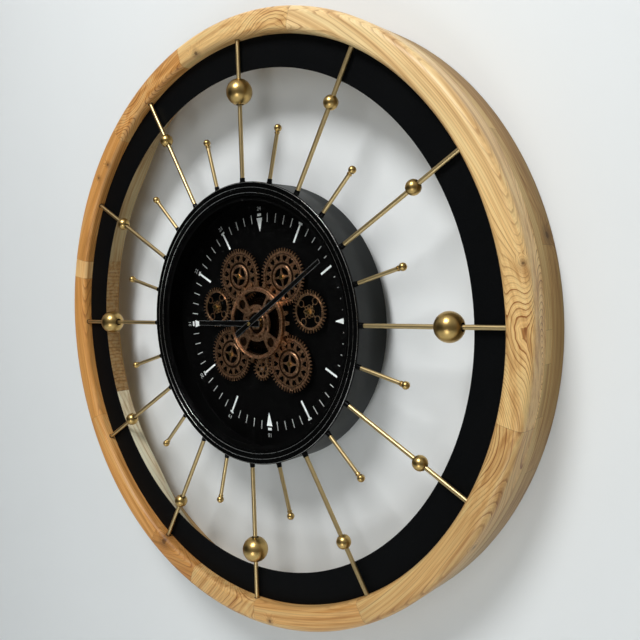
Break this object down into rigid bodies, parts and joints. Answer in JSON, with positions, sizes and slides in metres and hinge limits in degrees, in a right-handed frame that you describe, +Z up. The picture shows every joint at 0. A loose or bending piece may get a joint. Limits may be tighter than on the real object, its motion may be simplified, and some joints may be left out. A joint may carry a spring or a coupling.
{
  "type": "wall clock",
  "caption": "Round wall clock: laminated wooden ring, brass rods with balls, and a glazed black drum whose dial carries an open gear train turned by a motor.",
  "frame": {"origin": "on the dial's axis, in the wall plane that the ring's back rests against", "axes": "+Z up, +Y into the wall, so the dial faces -Y, and +X to the right as seen from the front"},
  "size_m": [0.7, 0.076, 0.7],
  "materials": {
    "ring_wood": "oiled softwood with knots, satin",
    "panel_black": "satin black paint on the front, bare edge",
    "antique_gold": "antique gold, satin",
    "ferrule_black": "black, matt",
    "drum_black": "black powder coat, satin",
    "dial_black": "black paint, satin",
    "lens_glass": "clear, flat",
    "gear_copper": "antique copper, satin",
    "gear_bronze": "antique bronze, satin",
    "wheel_bronze": "dark bronze, satin",
    "hub_brass": "brass, polished",
    "hand_black": "black paint with bright edges",
    "plain_steel": "zinc plated",
    "case_black": "black moulding, fine texture",
    "knob_plastic": "white moulding",
    "cell_jacket": "printed sleeve, plain"
  },
  "bodies": {
    "clock_body": {"ring_front_layer": "ring_wood", "ring_middle_layer": "ring_wood", "ring_back_layer": "ring_wood", "ring_panel": "panel_black", "long_rods": "antique_gold", "short_rods": "antique_gold", "quarter_balls": "antique_gold", "hour_balls": "antique_gold", "short_rod_tips": "antique_gold", "rod_ferrules": "ferrule_black", "drum_shell": "drum_black", "bezel": "drum_black", "back_cover": "drum_black", "dial_pan": "dial_black", "glass_lens": "lens_glass", "gear_posts": "hub_brass", "gear_post_caps": "hub_brass", "movement_bushing": "hub_brass", "dial_nut": "hub_brass", "hanger_plate": "plain_steel", "dial_brackets": "plain_steel", "cover_brackets": "plain_steel", "hub_clip": "plain_steel", "movement_case": "case_black", "gear_motor": "case_black", "battery_tray": "case_black", "clock_cell": "cell_jacket", "tray_cells": "cell_jacket"},
    "minute_hand": {"minute_arbor": "hub_brass", "minute_hand": "hand_black", "hand_nut": "hub_brass"},
    "hour_hand": {"hour_pipe": "hub_brass", "hour_hand": "hand_black"},
    "setting_knob": {"setting_knob": "knob_plastic"},
    "central_wheel": {"sun_gear": "gear_copper", "central_toothed_disc": "gear_bronze", "central_front_wheel": "wheel_bronze", "central_pillars": "hub_brass", "central_hub": "hub_brass"},
    "upper_left_gear": {"gear_upper_left": "gear_copper"},
    "upper_right_gear": {"gear_upper_right": "gear_copper"},
    "lower_right_gear": {"gear_lower_right": "gear_copper"},
    "lower_left_gear": {"gear_lower_left": "gear_copper"},
    "left_gear": {"gear_left": "gear_bronze"},
    "right_gear": {"gear_right": "gear_bronze"},
    "motor_pinion": {"drive_pinion": "gear_bronze", "pinion_shaft": "plain_steel"},
    "switch_slider": {"switch_slider": "knob_plastic"}
  },
  "joints": [
    {"name": "minute_hand_turn", "type": "hinge", "parent": "clock_body", "child": "minute_hand", "pos_m": [0, 0, 0], "axis": [0, 1, 0], "continuous": true},
    {"name": "hour_hand_turn", "type": "hinge", "parent": "clock_body", "child": "hour_hand", "pos_m": [0, 0, 0], "axis": [0, 1, 0], "continuous": true},
    {"name": "setting_knob_turn", "type": "hinge", "parent": "clock_body", "child": "setting_knob", "pos_m": [0.015, 0, 0.015], "axis": [0, 1, 0], "continuous": true},
    {"name": "central_wheel_turn", "type": "hinge", "parent": "clock_body", "child": "central_wheel", "pos_m": [0, 0, 0], "axis": [0, 1, 0], "continuous": true},
    {"name": "upper_left_gear_turn", "type": "hinge", "parent": "clock_body", "child": "upper_left_gear", "pos_m": [-0.03283, 0, 0.05552], "axis": [0, 1, 0], "continuous": true},
    {"name": "upper_right_gear_turn", "type": "hinge", "parent": "clock_body", "child": "upper_right_gear", "pos_m": [0.037, 0, 0.05284], "axis": [0, 1, 0], "continuous": true},
    {"name": "lower_right_gear_turn", "type": "hinge", "parent": "clock_body", "child": "lower_right_gear", "pos_m": [0.0444, 0, -0.04679], "axis": [0, 1, 0], "continuous": true},
    {"name": "lower_left_gear_turn", "type": "hinge", "parent": "clock_body", "child": "lower_left_gear", "pos_m": [-0.05138, 0, -0.039], "axis": [0, 1, 0], "continuous": true},
    {"name": "left_gear_turn", "type": "hinge", "parent": "clock_body", "child": "left_gear", "pos_m": [-0.07449, 0, 0.01879], "axis": [0, 1, 0], "continuous": true},
    {"name": "right_gear_turn", "type": "hinge", "parent": "clock_body", "child": "right_gear", "pos_m": [0.07599, 0, 0.01329], "axis": [0, 1, 0], "continuous": true},
    {"name": "motor_pinion_turn", "type": "hinge", "parent": "clock_body", "child": "motor_pinion", "pos_m": [-0.00017, 0, -0.05489], "axis": [0, 1, 0], "continuous": true},
    {"name": "switch_slide", "type": "slide", "parent": "clock_body", "child": "switch_slider", "axis": [0, 0, 1], "range_m": [0, 0.004]}
  ],
  "couplings": [
    {"joint": "hour_hand_turn", "follows": "minute_hand_turn", "ratio": 0.083333},
    {"joint": "setting_knob_turn", "follows": "minute_hand_turn", "ratio": -0.33333},
    {"joint": "upper_left_gear_turn", "follows": "central_wheel_turn", "ratio": -1},
    {"joint": "upper_right_gear_turn", "follows": "central_wheel_turn", "ratio": -1},
    {"joint": "lower_right_gear_turn", "follows": "central_wheel_turn", "ratio": -1},
    {"joint": "lower_left_gear_turn", "follows": "central_wheel_turn", "ratio": -1},
    {"joint": "left_gear_turn", "follows": "central_wheel_turn", "ratio": 1.3889},
    {"joint": "right_gear_turn", "follows": "central_wheel_turn", "ratio": 1.3889},
    {"joint": "motor_pinion_turn", "follows": "central_wheel_turn", "ratio": 2.5}
  ]
}
